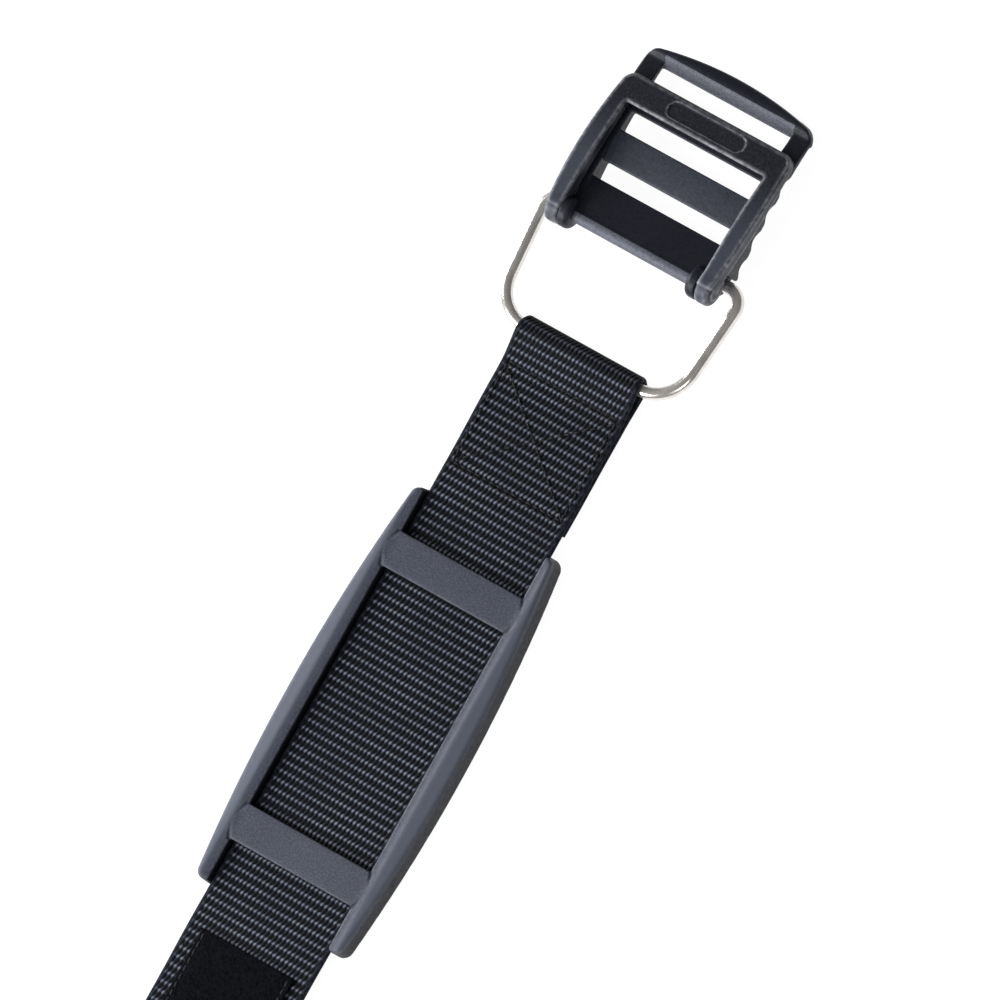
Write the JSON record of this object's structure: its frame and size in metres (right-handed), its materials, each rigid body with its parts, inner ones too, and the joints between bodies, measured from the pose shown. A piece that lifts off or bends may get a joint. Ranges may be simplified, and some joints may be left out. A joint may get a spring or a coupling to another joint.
{
  "type": "cylinder band",
  "caption": "Webbing band that straps an air cylinder: wire ring, slotted lever buckle with locking frame, and a sliding rubber pad.",
  "frame": {"origin": "middle of the pad's underside, which lies on the cylinder", "axes": "+X across the strap, +Y along the strap to the buckle, +Z away from the cylinder"},
  "size_m": [0.0842, 0.4442, 0.054],
  "materials": {
    "webbing": "ribbed nylon weave",
    "loop_tape": "fuzzy loops",
    "hook_tape": "fine plastic hooks",
    "thread": "bonded nylon thread",
    "pad_rubber": "satin",
    "stainless_wire": "polished",
    "buckle_plastic": "fine spark-eroded texture",
    "pin_steel": "plain"
  },
  "bodies": {
    "strap": {"webbing_strap": "webbing", "box_x_stitching": "thread", "loop_patch": "loop_tape", "loop_patch_stitching": "thread", "hook_patch": "hook_tape", "hook_patch_stitching": "thread"},
    "pad": {"anti_slip_pad": "pad_rubber"},
    "ring": {"tension_ring": "stainless_wire"},
    "lever": {"slotted_lever": "buckle_plastic", "hinge_pin": "pin_steel"},
    "frame": {"locking_frame": "buckle_plastic"}
  },
  "joints": [
    {"name": "pad_slide", "type": "slide", "parent": "strap", "child": "pad", "axis": [0, 1, 0], "range_m": [-0.009, 0.007]},
    {"name": "ring_hinge", "type": "hinge", "parent": "strap", "child": "ring", "pos_m": [0, 0.13707, 0.00433], "axis": [1, 0, 0], "range_deg": [0, 90]},
    {"name": "lever_hinge", "type": "hinge", "parent": "ring", "child": "lever", "pos_m": [0, 0.18066, 0.0032], "axis": [1, 0, 0], "range_deg": [0, 60]},
    {"name": "frame_hinge", "type": "hinge", "parent": "lever", "child": "frame", "pos_m": [0, 0.1773, 0.0112], "axis": [1, 0, 0], "range_deg": [0, 65]}
  ]
}
